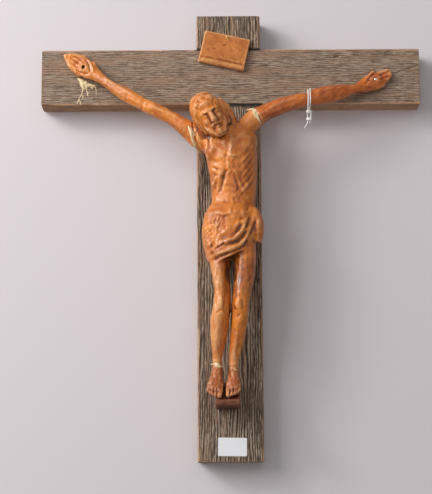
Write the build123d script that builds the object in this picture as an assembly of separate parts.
from build123d import *
import math
import os
from typing import NamedTuple

# Wall crucifix: two weathered boards lapped at the crossing, with a carved figure fixed to them.
# Millimetres, +Z up. The front faces -Y and the rear face of the boards is the plane Y = 0.
# The origin is the mouth of the hanging hole, in the rear face at the middle of the crossing.
# Right and left are the figure's own, so its right arm reaches towards -X.

# Boards
BEAM_THICKNESS = 32.0
UPRIGHT_WIDTH = 80.0
UPRIGHT_LENGTH = 560.0
TOP_STUB = 44.0  # upright above the crossbeam
CROSSBEAM_LENGTH = 476.0
CROSSBEAM_HEIGHT = 72.0
CROSSBEAM_SHIFT = 2.75  # the crossbeam's middle lies this far towards +X
WORN_EDGE = 1.6  # bevel of the boards' worn edges
LAP_CLEARANCE = 0.1  # at the side walls of the lap

# Hanging hole
HANGING_HOLE_RADIUS = 4.0
HANGING_HOLE_DEPTH = 10.0

# Wood screws, driven from the rear
SCREW_RADIUS = 2.0
SCREW_HEAD_RADIUS = 4.0
SCREW_HEAD_HEIGHT = 2.6
SCREW_CLEARANCE = 0.05
LAP_SCREW_BITE = 9.0  # length of a lap screw in the crossbeam
LAP_SCREW_ACROSS = 21.0  # lap screws, from the crossing's middle
LAP_SCREW_RISE = 19.0
CORPUS_SCREW_BITE = 20.0
CORPUS_SCREW_Z = -205.0
BLOCK_SCREW_BITE = 16.0

# Nails
HAND_NAIL_RADIUS = 1.2
HAND_NAIL_HEAD_RADIUS = 2.15
HAND_NAIL_HEAD_HEIGHT = 1.3
HAND_NAIL_BITE = 14.0  # length of the nail in the crossbeam
TITULUS_NAIL_RADIUS = 0.9
TITULUS_NAIL_HEAD_RADIUS = 1.65
TITULUS_NAIL_HEAD_HEIGHT = 1.2
TITULUS_NAIL_BITE = 12.0
NAIL_CLEARANCE = 0.05
NAIL_DOME = ((0.0, 1.0), (0.55, 0.86), (1.0, 0.45))  # rise and radius, as shares of a head's
NAIL_FLATS = 12  # hammered flats round a head

# Plaque, hung on one nail near its top edge
PLAQUE_WIDTH = 58.0
PLAQUE_HEIGHT = 42.0
PLAQUE_TOP_THICKNESS = 4.0
PLAQUE_ROLL_RADIUS = 3.6  # rolled lower edge
PLAQUE_TILT = 12.6  # clockwise, seen from the front
PLAQUE_NAIL_DROP = 3.0  # nail below the top edge
PLAQUE_GAP = 0.3  # to the boards behind and to the nail's head
PLAQUE_NAIL_X = -1.1
PLAQUE_NAIL_Z = 50.6

# Paper label
LABEL_WIDTH = 35.0
LABEL_HEIGHT = 22.3
LABEL_THICKNESS = 0.25
LABEL_CORNER = 1.2
LABEL_TILT = 1.1
LABEL_X = 1.75
LABEL_RISE = 18.0  # label's middle above the foot of the upright

# Dowels inside the shoulder joints
DOWEL_RADIUS = 3.0
DOWEL_LENGTH = 24.0
DOWEL_CLEARANCE = 0.05

# Wedge under the soles
BLOCK_LEFT_X = 11.0
BLOCK_RIGHT_X = -18.0
BLOCK_REACH = 47.0  # front edge, ahead of the boards
BLOCK_TOP_Z = -408.5  # front edge of the sloping top
BLOCK_FRONT_HEIGHT = 6.0
BLOCK_SLOPE = 27.7  # top and soles fall towards the front, in degrees
BLOCK_UNDERCUT = 2.0  # the underside falls this much from front to rear

# String tied round the left arm
STRING_DIAMETER = 1.4
STRING_SIDES = 3
STRING_ARC_SHARE = 0.45  # of the shorter run beside an arc

# Flat cuts of the carving
BODY_SIDES = 12  # round the trunk, the head and the limbs
ROLL_SIDES = 7  # round a fold or a lock of hair
DIGIT_SIDES = 7  # round a finger or toe
DIGIT_BEVEL = 0.6  # bevel at a fingertip, as a share of its radius


class Ring(NamedTuple):
    """Section of a carved limb. Its middle stands ahead of the boards' front face."""

    x: float
    ahead: float
    z: float
    side: float  # half-size across the limb
    fore: float  # half-size towards the front
    aft: float  # half-size towards the boards


TRUNK = (
    Ring(-6.0, 29.0, -64.0, 11.0, 10.0, 10.0),
    Ring(1.0, 28.0, -74.0, 29.5, 16.0, 15.0),
    Ring(0.8, 27.0, -86.0, 33.8, 20.5, 18.5),
    Ring(1.2, 26.0, -99.0, 33.2, 23.5, 20.0),
    Ring(3.2, 26.0, -113.0, 31.5, 24.0, 21.0),
    Ring(4.6, 25.0, -130.0, 29.5, 21.5, 20.0),
    Ring(5.2, 25.0, -147.0, 28.2, 18.5, 19.5),
    Ring(5.4, 25.0, -162.0, 27.2, 17.5, 20.0),
    Ring(3.0, 25.0, -180.0, 28.0, 19.0, 22.0),
    Ring(0.5, 24.0, -202.0, 29.5, 20.0, 25.0),
    Ring(0.5, 24.0, -224.0, 28.0, 18.0, 24.0),
)
NECK = (
    Ring(-3.0, 26.0, -86.0, 12.0, 12.0, 12.0),
    Ring(-8.0, 34.0, -76.0, 12.0, 12.0, 12.0),
    Ring(-14.0, 42.0, -66.0, 12.0, 12.0, 12.0),
)
RIGHT_ARM = (
    Ring(-20.0, 27.0, -96.0, 13.0, 13.0, 13.0),
    Ring(-39.0, 29.0, -84.5, 13.7, 13.0, 13.0),
    Ring(-54.0, 29.0, -73.0, 10.6, 11.0, 11.0),
    Ring(-70.0, 28.0, -61.2, 8.5, 9.5, 9.5),
    Ring(-95.4, 25.0, -47.2, 8.8, 9.2, 9.2),
    Ring(-107.0, 23.0, -41.2, 8.0, 8.4, 8.4),
    Ring(-126.3, 19.0, -28.6, 9.3, 9.0, 9.0),
    Ring(-146.0, 14.5, -15.5, 6.5, 7.0, 7.0),
    Ring(-157.0, 11.5, -6.6, 5.9, 5.8, 5.8),
    Ring(-165.0, 9.0, 0.0, 7.6, 5.6, 6.6),
    Ring(-173.0, 7.2, 5.6, 10.8, 5.6, 7.8),
    Ring(-181.0, 6.2, 11.4, 12.0, 5.4, 7.6),
    Ring(-187.0, 5.6, 16.0, 9.5, 4.4, 6.8),
)
LEFT_ARM = (
    Ring(3.0, 26.0, -88.0, 11.5, 11.5, 11.5),
    Ring(18.0, 28.0, -75.0, 12.5, 12.5, 12.5),
    Ring(33.0, 29.0, -61.3, 12.4, 12.5, 12.5),
    Ring(46.0, 29.0, -54.0, 10.2, 11.0, 11.0),
    Ring(67.0, 27.0, -44.8, 10.2, 10.0, 10.0),
    Ring(84.0, 25.0, -39.6, 9.2, 9.4, 9.4),
    Ring(93.5, 23.6, -37.2, 8.6, 8.8, 8.8),
    Ring(98.0, 22.9, -36.0, 6.8, 7.2, 7.2),
    Ring(103.5, 22.0, -34.2, 9.6, 8.8, 8.8),
    Ring(110.0, 20.9, -32.3, 10.6, 9.2, 9.2),
    Ring(124.0, 18.0, -28.5, 11.3, 9.2, 9.2),
    Ring(142.0, 14.2, -24.2, 9.2, 8.0, 8.0),
    Ring(153.0, 11.6, -21.2, 6.3, 6.0, 6.0),
    Ring(160.5, 9.6, -18.9, 5.6, 5.4, 6.2),
    Ring(168.0, 7.8, -15.6, 8.4, 5.6, 7.6),
    Ring(177.0, 6.6, -11.2, 10.4, 5.5, 7.8),
    Ring(185.0, 5.8, -7.0, 9.8, 5.0, 7.2),
    Ring(190.5, 5.4, -4.3, 8.0, 4.2, 6.6),
)
RIGHT_LEG = (
    Ring(-14.0, 25.0, -212.0, 15.0, 17.0, 17.0),
    Ring(-14.0, 27.0, -235.0, 12.0, 15.0, 15.0),
    Ring(-12.8, 30.0, -256.0, 9.4, 13.0, 13.0),
    Ring(-11.4, 34.0, -278.0, 7.7, 10.5, 11.0),
    Ring(-12.4, 36.0, -295.0, 8.5, 10.5, 11.0),
    Ring(-14.6, 33.0, -314.0, 10.2, 10.0, 12.0),
    Ring(-15.9, 29.0, -334.0, 8.2, 8.5, 10.0),
    Ring(-16.4, 25.0, -352.0, 5.8, 6.5, 7.0),
    Ring(-15.8, 24.0, -365.0, 5.9, 6.5, 7.0),
    Ring(-16.8, 28.0, -378.0, 7.2, 7.5, 13.0),
    Ring(-18.4, 35.0, -390.0, 9.7, 6.0, 14.0),
    Ring(-19.4, 41.0, -398.0, 9.4, 3.8, 9.0),
)
LEFT_LEG = (
    Ring(17.0, 25.0, -212.0, 15.0, 17.0, 17.0),
    Ring(18.5, 27.0, -235.0, 13.4, 15.5, 15.5),
    Ring(17.8, 30.0, -256.0, 12.9, 14.0, 14.0),
    Ring(14.8, 34.0, -276.0, 11.6, 12.0, 12.0),
    Ring(12.2, 36.0, -294.0, 10.2, 11.0, 11.5),
    Ring(11.2, 33.0, -313.0, 9.9, 10.0, 12.0),
    Ring(8.6, 29.0, -333.0, 9.2, 8.5, 10.0),
    Ring(5.0, 25.0, -352.0, 7.0, 6.5, 7.5),
    Ring(3.8, 24.0, -367.0, 5.5, 6.5, 7.0),
    Ring(3.6, 28.0, -379.0, 6.8, 7.5, 13.0),
    Ring(3.2, 35.0, -390.0, 8.9, 6.0, 14.0),
    Ring(2.9, 41.0, -397.5, 8.2, 3.8, 9.0),
)
CLOTH = (
    Ring(2.6, 25.0, -171.0, 28.0, 19.0, 23.0),
    Ring(1.6, 25.0, -180.0, 31.0, 22.0, 25.0),
    Ring(0.4, 25.0, -198.0, 32.8, 23.5, 27.0),
    Ring(0.4, 25.0, -218.0, 32.0, 23.5, 27.0),
    Ring(1.5, 26.0, -236.0, 28.5, 22.0, 26.0),
    Ring(3.0, 27.0, -252.0, 22.5, 19.0, 24.0),
)
CLOTH_HEM_Z = -236.0  # lower hem at the figure's middle
CLOTH_HEM_SLOPE = 25.0  # the hem rises towards the figure's left, in degrees
CLOTH_FOLD_RISE = 8.0  # edge of the upper layer above the lower hem
CLOTH_FOLD_STEP = 1.5  # how far the upper layer stands out
HIP_KNOT = (
    Ring(28.0, 27.0, -174.0, 5.0, 11.0, 10.0),
    Ring(31.0, 27.0, -183.0, 8.2, 15.0, 12.0),
    Ring(33.4, 26.0, -194.0, 9.4, 15.5, 12.0),
    Ring(33.6, 25.0, -205.0, 8.6, 14.5, 12.0),
    Ring(32.6, 24.0, -216.0, 6.8, 11.0, 11.0),
)
# Routes of points, with the radius of a fold there
CLOTH_FOLDS = (
    ((30.0, 34.0, -186.0, 3.2), (14.0, 45.5, -195.0, 4.0), (-6.0, 46.6, -207.0, 4.0),
     (-26.0, 38.0, -222.0, 3.0)),
    ((31.0, 33.0, -194.0, 3.2), (17.0, 45.0, -205.0, 4.0), (-1.0, 47.4, -217.0, 4.0),
     (-20.0, 42.0, -231.0, 3.0)),
    ((31.0, 32.0, -203.0, 3.0), (20.0, 42.5, -214.0, 3.8), (4.0, 46.4, -224.0, 3.8),
     (-10.0, 44.8, -232.0, 3.0)),
)
RIB_ARCH = (
    (-20.0, 34.6, -148.0, 3.0), (-12.0, 40.4, -134.0, 3.6), (-2.0, 43.6, -125.0, 3.6),
    (9.0, 42.8, -132.0, 3.6), (22.0, 38.0, -149.0, 3.0),
)
# Chest and belly, which stand out from the trunk
RIGHT_BREAST = (
    Ring(-12.0, 33.0, -77.0, 10.0, 6.0, 8.0),
    Ring(-15.0, 36.0, -89.0, 15.5, 9.6, 9.0),
    Ring(-15.8, 37.0, -102.0, 15.5, 10.0, 9.0),
    Ring(-15.5, 34.5, -115.0, 12.0, 7.5, 8.0),
)
LEFT_BREAST = (
    Ring(11.5, 33.0, -76.0, 10.0, 6.0, 8.0),
    Ring(14.0, 36.0, -88.0, 15.5, 9.6, 9.0),
    Ring(14.6, 37.0, -101.0, 15.5, 10.0, 9.0),
    Ring(14.0, 34.5, -114.0, 12.0, 7.5, 8.0),
)
BELLY = (
    Ring(4.4, 31.0, -138.0, 12.0, 8.0, 8.0),
    Ring(4.8, 31.0, -150.0, 17.0, 11.6, 9.0),
    Ring(4.8, 31.0, -162.0, 17.5, 12.4, 9.0),
    Ring(3.8, 31.0, -178.0, 15.0, 11.0, 9.0),
)
HAIR_LEFT = (
    Ring(-17.0, 41.0, -45.0, 9.0, 12.0, 13.0),
    Ring(-6.0, 38.0, -53.5, 9.0, 11.0, 12.0),
    Ring(1.5, 35.0, -64.0, 8.0, 10.0, 11.0),
    Ring(5.0, 33.0, -77.0, 6.5, 9.0, 10.0),
)
HAIR_RIGHT = (
    Ring(-40.0, 41.0, -54.0, 7.5, 11.0, 12.0),
    Ring(-37.0, 39.0, -66.0, 7.0, 10.0, 11.0),
    Ring(-32.5, 37.5, -76.0, 6.0, 8.5, 9.0),
    Ring(-28.5, 37.0, -85.0, 4.0, 8.0, 8.0),
)

# Head: sections along its own axis, given by their height above its middle
HEAD_X = -24.2
HEAD_AHEAD = 47.0
HEAD_Z = -63.0
HEAD_TILT = 30.0  # crown leans towards -X
HEAD_BOW = 12.0  # crown leans towards the front


class HeadRing(NamedTuple):
    """Section of the head, square to its axis."""

    up: float
    forward: float
    side: float
    fore: float
    aft: float


HEAD = (
    HeadRing(30.0, -2.0, 6.5, 7.0, 7.5),
    HeadRing(26.0, -1.0, 13.5, 14.0, 15.5),
    HeadRing(16.0, 0.0, 18.8, 20.0, 21.5),
    HeadRing(4.0, 0.0, 20.2, 21.4, 22.5),
    HeadRing(-9.0, 0.0, 17.8, 21.2, 20.0),
    HeadRing(-18.0, 1.0, 14.0, 19.5, 15.5),
    HeadRing(-25.0, 4.0, 9.5, 14.5, 10.0),
    HeadRing(-28.5, 6.0, 4.6, 8.0, 6.0),
)
# Forms on the head: routes of distances across, forward and up from its middle, with a radius
LEFT_LOCKS = (
    ((1.0, 11.0, 25.0, 2.8), (10.0, 14.6, 18.6, 3.6), (16.6, 11.6, 7.0, 3.6), (18.0, 7.0, -8.0, 3.4),
     (17.0, 2.0, -19.0, 2.8)),
    ((3.0, 2.0, 26.0, 3.0), (13.6, 3.0, 19.6, 3.4), (19.0, 1.0, 6.0, 3.4), (20.0, -3.0, -9.0, 3.8),
     (21.0, -9.0, -23.0, 3.8)),
)
RIGHT_LOCKS = (
    ((-1.0, 11.0, 25.0, 2.8), (-10.0, 14.6, 18.6, 3.6), (-16.4, 11.6, 7.0, 3.4), (-17.2, 7.0, -8.0, 3.2),
     (-14.0, 4.0, -18.0, 2.8)),
    ((-3.0, 2.0, 26.0, 3.0), (-13.4, 3.0, 19.6, 3.4), (-18.4, 1.0, 6.0, 3.2), (-18.4, -3.0, -8.0, 3.2),
     (-15.6, -7.0, -20.0, 3.0)),
)
BEARD = (
    ((12.0, 11.5, -9.0, 3.4), (8.8, 15.5, -18.0, 4.4), (3.8, 17.0, -25.5, 4.0), (1.8, 16.0, -29.5, 2.2)),
    ((-12.0, 11.5, -9.0, 3.4), (-8.8, 15.5, -18.0, 4.4), (-3.8, 17.0, -25.5, 4.0), (-1.8, 16.0, -29.5, 2.2)),
    ((0.0, 17.5, -19.0, 4.4), (0.0, 18.2, -24.0, 4.0), (0.0, 17.0, -28.5, 2.8)),
)
MOUSTACHE = ((7.2, 19.5, -14.5, 1.7), (0.0, 22.4, -12.6, 1.9), (-7.2, 19.5, -14.5, 1.7))
BROW = ((11.0, 16.5, 3.5, 2.0), (4.6, 20.6, 4.6, 2.2), (-4.6, 20.6, 4.6, 2.2), (-11.0, 16.5, 3.5, 2.0))
NOSE = ((0.0, 19.5, 5.0, 2.2), (0.0, 22.0, -2.0, 2.8), (0.0, 22.8, -7.5, 4.0), (0.0, 21.8, -9.5, 3.2))


class Digit(NamedTuple):
    """Finger or toe: its two ends, ahead of the boards' front face, and its radii there."""

    x: float
    ahead: float
    z: float
    tip_x: float
    tip_ahead: float
    tip_z: float
    radius: float
    tip_radius: float


RIGHT_FINGERS = (
    Digit(-164.0, 8.0, 3.0, -170.0, 7.5, 16.0, 4.4, 3.2),
    Digit(-173.5, 5.5, 14.5, -183.0, 4.6, 25.8, 4.0, 2.9),
    Digit(-178.5, 5.5, 12.5, -190.8, 4.6, 27.8, 4.0, 2.9),
    Digit(-183.0, 5.5, 9.0, -198.0, 4.6, 28.0, 3.9, 2.7),
    Digit(-188.5, 5.0, 5.5, -205.2, 4.2, 27.4, 4.6, 2.2),
)
LEFT_FINGERS = (
    Digit(168.0, 8.0, -13.0, 181.8, 7.2, 2.2, 4.2, 3.0),
    Digit(183.0, 5.5, -2.0, 200.4, 4.6, 5.4, 3.9, 2.9),
    Digit(185.5, 5.5, -6.5, 203.4, 4.6, 0.6, 3.9, 2.8),
    Digit(185.5, 5.5, -11.0, 200.4, 4.6, -5.0, 3.8, 2.7),
    Digit(182.5, 5.5, -14.0, 193.4, 4.4, -10.8, 3.5, 2.4),
)
RIGHT_TOES = (
    Digit(-12.6, 38.0, -396.0, -14.0, 46.5, -404.0, 3.8, 3.0),
    Digit(-16.8, 38.0, -396.0, -18.4, 46.5, -402.8, 3.0, 2.3),
    Digit(-20.2, 37.0, -395.0, -21.8, 45.0, -401.2, 2.8, 2.1),
    Digit(-23.2, 36.0, -394.0, -24.6, 43.0, -399.4, 2.6, 2.0),
    Digit(-25.6, 34.5, -392.0, -26.6, 40.5, -397.0, 2.4, 1.9),
)
LEFT_TOES = (
    Digit(-2.8, 38.0, -395.5, -2.7, 46.5, -403.4, 3.6, 2.9),
    Digit(1.2, 38.0, -395.5, 1.6, 46.5, -402.4, 2.9, 2.2),
    Digit(4.4, 37.0, -394.5, 4.9, 45.0, -401.0, 2.7, 2.1),
    Digit(7.3, 36.0, -393.5, 7.7, 43.0, -399.0, 2.5, 2.0),
    Digit(9.6, 34.5, -392.0, 10.0, 40.5, -396.8, 2.3, 1.8),
)

# Joint faces: a point on each, and the direction that leads out of the corpus
RIGHT_SHOULDER = (-39.2, 29.0, -84.5)
RIGHT_SHOULDER_OUT = (-0.9, 0.36, -0.22)
LEFT_SHOULDER = (33.0, 29.0, -61.3)
LEFT_SHOULDER_OUT = (0.75, 0.24, 0.58)
RIGHT_ANKLE_Z = -364.0
LEFT_ANKLE_Z = -367.5

# Nail holes in the palms
RIGHT_PALM_HOLE = (-181.8, 10.6)
LEFT_PALM_HOLE = (184.0, -7.0)
PALM_FLAT_AHEAD = 9.6  # the left nail's head sits on a flat here

# String: points of its route, in front of the boards' face
STRING_ROUTE = (
    (93.0, 24.5, -73.5),
    (94.2, 25.6, -66.5),
    (95.2, 27.0, -59.0),
    (95.8, 30.2, -50.5),
    (96.2, 34.2, -41.0),
    (96.3, 32.0, -29.0),
    (96.4, 22.8, -23.6),
    (96.6, 13.2, -28.0),
    (97.0, 11.0, -38.0),
    (97.8, 15.5, -48.0),
    (98.6, 24.0, -49.6),
    (99.4, 31.8, -46.6),
    (99.9, 34.2, -38.0),
    (99.9, 31.2, -27.6),
    (99.9, 22.2, -22.6),
    (99.9, 12.6, -26.8),
    (99.9, 9.8, -38.0),
    (100.2, 13.6, -49.6),
    (100.6, 23.0, -55.0),
    (101.2, 26.6, -61.5),
    (100.2, 25.8, -68.0),
)

# Values that follow from those above
FACE_Y = -BEAM_THICKNESS
LAP_Y = FACE_Y / 2
UPRIGHT_TOP_Z = CROSSBEAM_HEIGHT / 2 + TOP_STUB
UPRIGHT_FOOT_Z = UPRIGHT_TOP_Z - UPRIGHT_LENGTH
BLOCK_MIDDLE_X = (BLOCK_LEFT_X + BLOCK_RIGHT_X) / 2
BLOCK_WIDTH = BLOCK_LEFT_X - BLOCK_RIGHT_X
BLOCK_REAR_TOP_Z = BLOCK_TOP_Z + BLOCK_REACH * math.tan(math.radians(BLOCK_SLOPE))
BLOCK_FRONT_FOOT_Z = BLOCK_TOP_Z - BLOCK_FRONT_HEIGHT
BLOCK_REAR_FOOT_Z = BLOCK_FRONT_FOOT_Z - BLOCK_UNDERCUT
BLOCK_SCREW_Z = (BLOCK_REAR_TOP_Z + BLOCK_REAR_FOOT_Z) / 2
FRONT = Vector(0, -1, 0)
REAR = Vector(0, 1, 0)
DOWN = Vector(0, 0, -1)
ON_BASE = (Align.CENTER, Align.CENTER, Align.MIN)


def ahead_of_face(x, ahead, z):
    """Point that stands ahead of the boards' front face."""
    return Vector(x, FACE_Y - ahead, z)


def section(middle, direction, side, fore, aft, sides):
    """Corners of a section, square to a direction."""
    forward = (FRONT - direction * FRONT.dot(direction)).normalized()
    across = forward.cross(direction)
    corners = []
    for step in range(sides):
        angle = 2 * math.pi * step / sides
        depth = fore if math.sin(angle) > 0 else aft
        corners.append(middle + across * (side * math.cos(angle)) + forward * (depth * math.sin(angle)))
    return corners


def flat_cut(*corners):
    """One flat face of the carving."""
    return make_face(Polyline(*corners, close=True))


def faceted(outlines):
    """Solid in flat three-cornered cuts between outlines that have the same number of corners."""
    faces = [flat_cut(*outlines[0]), flat_cut(*outlines[-1])]
    for near, far in zip(outlines, outlines[1:]):
        for corner in range(len(near)):
            a, b = near[corner - 1], near[corner]
            c, d = far[corner - 1], far[corner]
            if (a - d).length < (b - c).length:
                faces += [flat_cut(a, b, d), flat_cut(a, d, c)]
            else:
                faces += [flat_cut(a, b, c), flat_cut(b, d, c)]
    return Solid(Shell(faces))


def carved(stations, direction=None, sides=BODY_SIDES):
    """Faceted solid through stations of a middle and its half-sizes.

    Each section is square to the direction, or else to the line between its neighbours.
    """
    outlines = []
    for index, (middle, side, fore, aft) in enumerate(stations):
        before = stations[max(index - 1, 0)][0]
        after = stations[min(index + 1, len(stations) - 1)][0]
        along = direction or (after - before).normalized()
        outlines.append(section(middle, along, side, fore, aft, sides))
    return faceted(outlines)


def limb(rings, direction=None, sides=BODY_SIDES):
    """Carved form through its rings."""
    stations = []
    for ring in rings:
        stations.append((ahead_of_face(ring.x, ring.ahead, ring.z), ring.side, ring.fore, ring.aft))
    return carved(stations, direction, sides)


def roll(route):
    """Rounded ridge along a route of points and radii."""
    stations = [(ahead_of_face(x, ahead, z), radius, radius, radius) for x, ahead, z, radius in route]
    return carved(stations, sides=ROLL_SIDES)


def digit(spec):
    """Tapered finger or toe with a bevelled tip."""
    base = ahead_of_face(spec.x, spec.ahead, spec.z)
    tip = ahead_of_face(spec.tip_x, spec.tip_ahead, spec.tip_z)
    bevel = DIGIT_BEVEL * spec.tip_radius
    end = tip + (tip - base).normalized() * bevel
    sizes = ((base, spec.radius), (tip, spec.tip_radius), (end, bevel))
    return carved([(point, radius, radius, radius) for point, radius in sizes], sides=DIGIT_SIDES)


def rod(start, direction, radius, length):
    """Round bar from a point along a direction."""
    return Plane(origin=start, z_dir=direction) * Cylinder(
        radius, length, align=ON_BASE
    )


def in_front(solid):
    """What of a carving lies in front of the boards."""
    return split(solid, bisect_by=Plane(origin=(0, FACE_Y, 0), z_dir=FRONT), keep=Keep.TOP)


def shoulder_plane(point, out):
    """Joint face of a shoulder, whose normal leads out of the corpus."""
    return Plane(origin=ahead_of_face(*point), z_dir=out)


def ankle_plane(z):
    """Joint face of an ankle, whose normal leads down into the foot."""
    return Plane(origin=(0, 0, z), z_dir=DOWN)


def sole_plane():
    """Sloping top of the foot block, which the soles rest on."""
    slope = math.radians(BLOCK_SLOPE)
    origin = ahead_of_face(BLOCK_MIDDLE_X, BLOCK_REACH, BLOCK_TOP_Z)
    return Plane(origin=origin, x_dir=(1, 0, 0), z_dir=(0, -math.sin(slope), math.cos(slope)))


def outer_part(solid, plane):
    """What lies on the side that the plane's normal points to."""
    return split(solid, bisect_by=plane, keep=Keep.TOP)


def inner_part(solid, plane):
    """What lies on the other side."""
    return split(solid, bisect_by=plane, keep=Keep.BOTTOM)


def dowel(point, out, clearance=0.0):
    """Dowel across a shoulder joint, or the bore that takes it."""
    axis = Vector(*out).normalized()
    length = DOWEL_LENGTH + 2 * clearance
    return rod(ahead_of_face(*point) - axis * (length / 2), axis, DOWEL_RADIUS + clearance, length)


def screw(x, z, bite, clearance=0.0):
    """Wood screw with a flat head sunk in the rear face, or the hole that takes it.

    The bite is the length in the piece that it holds, past whatever it goes through first.
    """
    length = bite + clearance
    start = Vector(x, 0, z)
    head = rod(start, FRONT, SCREW_HEAD_RADIUS + clearance, SCREW_HEAD_HEIGHT)
    return head + rod(start, FRONT, SCREW_RADIUS + clearance, length)


def lap_screw_places():
    """Two lap screws, on a diagonal of the crossing."""
    return [(-LAP_SCREW_ACROSS, LAP_SCREW_RISE), (LAP_SCREW_ACROSS, -LAP_SCREW_RISE)]


def lap_screw_length():
    """Through the rear half of the lap and into the front half."""
    return -LAP_Y + LAP_SCREW_BITE


def nail(x, z, seat_ahead, radius, head_radius, head_height, bite):
    """Round nail with a domed head that sits ahead of the boards."""
    seat = ahead_of_face(x, seat_ahead, z)
    outlines = []
    for rise, spread in NAIL_DOME:
        corners = []
        for step in range(NAIL_FLATS):
            angle = 2 * math.pi * step / NAIL_FLATS
            out = Vector(math.cos(angle), 0, math.sin(angle)) * (spread * head_radius)
            corners.append(seat + FRONT * (rise * head_height) + out)
        outlines.append(corners)
    return faceted(outlines) + rod(seat, REAR, radius, seat_ahead + bite)


def board(length_x, length_z, middle_x, middle_z):
    """Board with worn edges, its rear face in the plane Y = 0."""
    solid = Pos(middle_x, LAP_Y, middle_z) * Box(length_x, BEAM_THICKNESS, length_z)
    return chamfer(solid.edges(), WORN_EDGE)


def titulus_nail():
    """Nail that the plaque hangs on."""
    return nail(
        PLAQUE_NAIL_X,
        PLAQUE_NAIL_Z,
        2 * PLAQUE_GAP + PLAQUE_TOP_THICKNESS,
        TITULUS_NAIL_RADIUS,
        TITULUS_NAIL_HEAD_RADIUS,
        TITULUS_NAIL_HEAD_HEIGHT,
        TITULUS_NAIL_BITE,
    )


def left_hand_nail():
    """Nail in the left palm."""
    x, z = LEFT_PALM_HOLE
    return nail(
        x,
        z,
        PALM_FLAT_AHEAD,
        HAND_NAIL_RADIUS,
        HAND_NAIL_HEAD_RADIUS,
        HAND_NAIL_HEAD_HEIGHT,
        HAND_NAIL_BITE,
    )


def palm_hole(place):
    """Nail hole through a palm and into the crossbeam."""
    x, z = place
    end = Vector(x, FACE_Y + HAND_NAIL_BITE + NAIL_CLEARANCE, z)
    return rod(end, FRONT, HAND_NAIL_RADIUS + NAIL_CLEARANCE, HAND_NAIL_BITE + 2 * PALM_FLAT_AHEAD)


def upright_beam():
    """Upright, notched in front for the crossbeam."""
    solid = board(UPRIGHT_WIDTH, UPRIGHT_LENGTH, 0, UPRIGHT_TOP_Z - UPRIGHT_LENGTH / 2)
    notch_height = CROSSBEAM_HEIGHT + 2 * LAP_CLEARANCE
    solid -= Pos(0, FACE_Y + BEAM_THICKNESS / 4, 0) * Box(
        2 * UPRIGHT_WIDTH, BEAM_THICKNESS / 2, notch_height
    )
    solid -= rod(Vector(0, 0, 0), FRONT, HANGING_HOLE_RADIUS, HANGING_HOLE_DEPTH)
    for x, z in lap_screw_places():
        solid -= screw(x, z, lap_screw_length(), SCREW_CLEARANCE)
    solid -= screw(0, CORPUS_SCREW_Z, BEAM_THICKNESS + CORPUS_SCREW_BITE, SCREW_CLEARANCE)
    solid -= screw(
        BLOCK_MIDDLE_X, BLOCK_SCREW_Z, BEAM_THICKNESS + BLOCK_SCREW_BITE, SCREW_CLEARANCE
    )
    end = Vector(PLAQUE_NAIL_X, FACE_Y + TITULUS_NAIL_BITE + NAIL_CLEARANCE, PLAQUE_NAIL_Z)
    solid -= rod(end, FRONT, TITULUS_NAIL_RADIUS + NAIL_CLEARANCE, 2 * TITULUS_NAIL_BITE)
    return solid


def crossbeam():
    """Crossbeam, notched in the rear for the upright."""
    solid = board(CROSSBEAM_LENGTH, CROSSBEAM_HEIGHT, CROSSBEAM_SHIFT, 0)
    notch_width = UPRIGHT_WIDTH + 2 * LAP_CLEARANCE
    solid -= Pos(0, -BEAM_THICKNESS / 4, 0) * Box(
        notch_width, BEAM_THICKNESS / 2, 2 * CROSSBEAM_HEIGHT
    )
    for x, z in lap_screw_places():
        solid -= screw(x, z, lap_screw_length(), SCREW_CLEARANCE)
    return solid - palm_hole(RIGHT_PALM_HOLE) - palm_hole(LEFT_PALM_HOLE)


def whole_arm(rings, fingers):
    """Arm with its hand, before the shoulder is cut."""
    solid = limb(rings)
    for spec in fingers:
        solid += digit(spec)
    return in_front(solid)


def whole_leg(rings, toes):
    """Leg with its foot, before the ankle is cut."""
    solid = limb(rings)
    for spec in toes:
        solid += digit(spec)
    return outer_part(in_front(solid), sole_plane())


def head_axes():
    """Directions across, out of and up the leaning head."""
    tilt = math.radians(HEAD_TILT)
    bow = math.radians(HEAD_BOW)
    up = Vector(-math.sin(tilt), -math.cos(tilt) * math.sin(bow), math.cos(tilt) * math.cos(bow))
    forward = (FRONT - up * FRONT.dot(up)).normalized()
    return up.cross(forward), forward, up


def on_head(across, forward, up):
    """Point given by its distances from the head's middle, along the head's own axes."""
    along_across, along_forward, along_up = head_axes()
    middle = ahead_of_face(HEAD_X, HEAD_AHEAD, HEAD_Z)
    return middle + along_across * across + along_forward * forward + along_up * up


def lock(route):
    """Lock of hair, beard or brow along a route on the head."""
    stations = [(on_head(*place), radius, radius, radius) for *place, radius in route]
    return carved(stations, sides=ROLL_SIDES)


def head():
    """Head with its hair, brow, nose and beard, on its own leaning axis."""
    stations = [(on_head(0, ring.forward, ring.up), ring.side, ring.fore, ring.aft) for ring in HEAD]
    solid = carved(stations, head_axes()[2] * -1)
    for route in (*LEFT_LOCKS, *RIGHT_LOCKS, *BEARD, MOUSTACHE, BROW, NOSE):
        solid += lock(route)
    return solid


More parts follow.
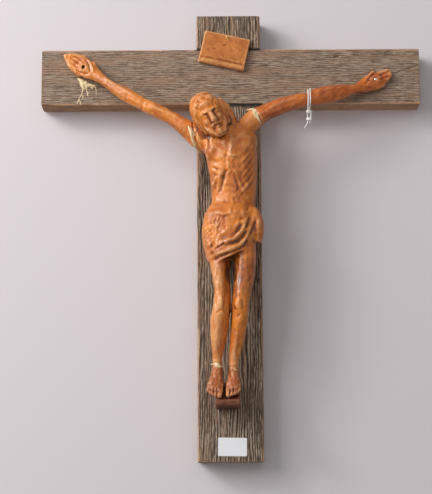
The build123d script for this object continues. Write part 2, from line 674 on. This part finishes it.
def loincloth():
    """Wrapped cloth in two layers with slanting hems, bunched at the left hip."""
    slope = math.radians(CLOTH_HEM_SLOPE)
    above = (-math.sin(slope), 0, math.cos(slope))
    lower = outer_part(limb(CLOTH, DOWN), Plane(origin=(0, 0, CLOTH_HEM_Z), z_dir=above))
    thicker = [
        ring._replace(side=ring.side + CLOTH_FOLD_STEP, fore=ring.fore + CLOTH_FOLD_STEP)
        for ring in CLOTH[1:]
    ]
    upper = outer_part(
        limb(thicker, DOWN), Plane(origin=(0, 0, CLOTH_HEM_Z + CLOTH_FOLD_RISE), z_dir=above)
    )
    solid = lower + upper + limb(HIP_KNOT)
    for route in CLOTH_FOLDS:
        solid += roll(route)
    return solid


def corpus(right_arm_whole, left_arm_whole, right_leg_whole, left_leg_whole):
    """Head, trunk, loincloth and legs in one carving."""
    solid = limb(TRUNK, DOWN) + limb(RIGHT_BREAST, DOWN) + limb(LEFT_BREAST, DOWN) + limb(BELLY, DOWN)
    solid += roll(RIB_ARCH)
    solid += inner_part(right_arm_whole, shoulder_plane(RIGHT_SHOULDER, RIGHT_SHOULDER_OUT))
    solid += inner_part(left_arm_whole, shoulder_plane(LEFT_SHOULDER, LEFT_SHOULDER_OUT))
    solid += limb(NECK)
    solid += head()
    solid += limb(HAIR_LEFT)
    solid += inner_part(limb(HAIR_RIGHT), shoulder_plane(RIGHT_SHOULDER, RIGHT_SHOULDER_OUT))
    solid += inner_part(right_leg_whole, ankle_plane(RIGHT_ANKLE_Z))
    solid += inner_part(left_leg_whole, ankle_plane(LEFT_ANKLE_Z))
    solid += loincloth()
    solid = in_front(solid)
    solid -= dowel(RIGHT_SHOULDER, RIGHT_SHOULDER_OUT, DOWEL_CLEARANCE)
    solid -= dowel(LEFT_SHOULDER, LEFT_SHOULDER_OUT, DOWEL_CLEARANCE)
    return solid - screw(0, CORPUS_SCREW_Z, BEAM_THICKNESS + CORPUS_SCREW_BITE, SCREW_CLEARANCE)


def right_arm(whole):
    """Right arm from its joint face to the fingertips, with an empty nail hole."""
    solid = outer_part(whole, shoulder_plane(RIGHT_SHOULDER, RIGHT_SHOULDER_OUT))
    solid -= dowel(RIGHT_SHOULDER, RIGHT_SHOULDER_OUT, DOWEL_CLEARANCE)
    return solid - palm_hole(RIGHT_PALM_HOLE)


def left_arm(whole):
    """Left arm from its joint face to the fingertips, with a flat for the nail's head."""
    solid = outer_part(whole, shoulder_plane(LEFT_SHOULDER, LEFT_SHOULDER_OUT))
    solid -= dowel(LEFT_SHOULDER, LEFT_SHOULDER_OUT, DOWEL_CLEARANCE)
    solid -= palm_hole(LEFT_PALM_HOLE)
    x, z = LEFT_PALM_HOLE
    flat = ahead_of_face(x, PALM_FLAT_AHEAD, z)
    return solid - rod(flat, FRONT, HAND_NAIL_HEAD_RADIUS + NAIL_CLEARANCE, PALM_FLAT_AHEAD)


def foot_block():
    """Wedge with a sloping top for the soles."""
    profile = Polyline(
        (FACE_Y, BLOCK_REAR_TOP_Z),
        (FACE_Y - BLOCK_REACH, BLOCK_TOP_Z),
        (FACE_Y - BLOCK_REACH, BLOCK_FRONT_FOOT_Z),
        (FACE_Y, BLOCK_REAR_FOOT_Z),
        close=True,
    )
    side = Plane(origin=(BLOCK_MIDDLE_X, 0, 0), x_dir=(0, 1, 0), z_dir=(1, 0, 0))
    solid = extrude(side * make_face(profile), BLOCK_WIDTH / 2, both=True)
    return solid - screw(
        BLOCK_MIDDLE_X, BLOCK_SCREW_Z, BEAM_THICKNESS + BLOCK_SCREW_BITE, SCREW_CLEARANCE
    )


def titulus_plaque():
    """Thin plate with a rolled lower edge, askew on its nail."""
    top = PLAQUE_NAIL_DROP
    roll_z = top - PLAQUE_HEIGHT + PLAQUE_ROLL_RADIUS
    rear = FACE_Y - PLAQUE_GAP
    roll_y = rear - PLAQUE_ROLL_RADIUS
    plate = make_face(
        Polyline(
            (rear, top),
            (rear - PLAQUE_TOP_THICKNESS, top),
            (rear - PLAQUE_TOP_THICKNESS, 0),
            (roll_y - PLAQUE_ROLL_RADIUS, roll_z),
            (rear, roll_z),
            close=True,
        )
    )
    roll = Pos(roll_y, roll_z) * Circle(PLAQUE_ROLL_RADIUS)
    side = Plane(origin=(0, 0, 0), x_dir=(0, 1, 0), z_dir=(1, 0, 0))
    solid = extrude(side * (plate + roll), PLAQUE_WIDTH / 2, both=True)
    solid -= rod(
        Vector(0, 0, 0),
        FRONT,
        TITULUS_NAIL_RADIUS + NAIL_CLEARANCE,
        BEAM_THICKNESS + 2 * PLAQUE_TOP_THICKNESS,
    )
    return Pos(PLAQUE_NAIL_X, 0, PLAQUE_NAIL_Z) * Rot(0, PLAQUE_TILT, 0) * solid


def lot_label():
    """Blank paper label on the front of the upright."""
    outline = RectangleRounded(LABEL_WIDTH, LABEL_HEIGHT, LABEL_CORNER)
    plane = Plane(
        origin=(LABEL_X, FACE_Y, UPRIGHT_FOOT_Z + LABEL_RISE), x_dir=(1, 0, 0), z_dir=FRONT
    )
    return extrude(plane * Rot(0, 0, -LABEL_TILT) * outline, LABEL_THICKNESS)


def tag_string():
    """String looped round the left arm, as straight runs joined by wide arcs."""
    points = [ahead_of_face(*point) for point in STRING_ROUTE]
    radii = []
    for before, point, after in zip(points, points[1:], points[2:]):
        turn = (point - before).get_angle(after - point)
        shorter = min((point - before).length, (after - point).length)
        radii.append(STRING_ARC_SHARE * shorter / math.tan(math.radians(turn / 2)))
    print("string radii", [round(radius, 1) for radius in radii])
    path = FilletPolyline(*points, radius=radii)
    start = Plane(origin=path @ 0, z_dir=path % 0)
    outline = start * RegularPolygon(STRING_DIAMETER / 2, STRING_SIDES)
    tube = sweep(outline, path)
    ideal = path.length * outline.area
    print("string length", round(path.length, 1), "volume ratio", round(tube.volume / ideal, 4))
    return tube


def lap_screws():
    """Screws of the lap, as one group."""
    return Compound(children=[screw(x, z, lap_screw_length()) for x, z in lap_screw_places()])


def build():
    """All pieces by the name of their node."""
    arm_right = whole_arm(RIGHT_ARM, RIGHT_FINGERS)
    arm_left = whole_arm(LEFT_ARM, LEFT_FINGERS)
    leg_right = whole_leg(RIGHT_LEG, RIGHT_TOES)
    leg_left = whole_leg(LEFT_LEG, LEFT_TOES)
    return {
        "upright_beam": upright_beam(),
        "crossbeam": crossbeam(),
        "lap_screws": lap_screws(),
        "corpus": corpus(arm_right, arm_left, leg_right, leg_left),
        "right_arm": right_arm(arm_right),
        "left_arm": left_arm(arm_left),
        "right_shoulder_dowel": dowel(RIGHT_SHOULDER, RIGHT_SHOULDER_OUT),
        "left_shoulder_dowel": dowel(LEFT_SHOULDER, LEFT_SHOULDER_OUT),
        "right_foot": outer_part(leg_right, ankle_plane(RIGHT_ANKLE_Z)),
        "left_foot": outer_part(leg_left, ankle_plane(LEFT_ANKLE_Z)),
        "foot_block": foot_block(),
        "corpus_screw": screw(0, CORPUS_SCREW_Z, BEAM_THICKNESS + CORPUS_SCREW_BITE),
        "foot_block_screw": screw(BLOCK_MIDDLE_X, BLOCK_SCREW_Z, BEAM_THICKNESS + BLOCK_SCREW_BITE),
        "left_hand_nail": left_hand_nail(),
        "titulus_nail": titulus_nail(),
        "titulus_plaque": titulus_plaque(),
        "lot_label": lot_label(),
        "tag_string": tag_string(),
    }


os.makedirs("parts", exist_ok=True)
for name, solid in build().items():
    export_step(solid, f"parts/{name}.step")
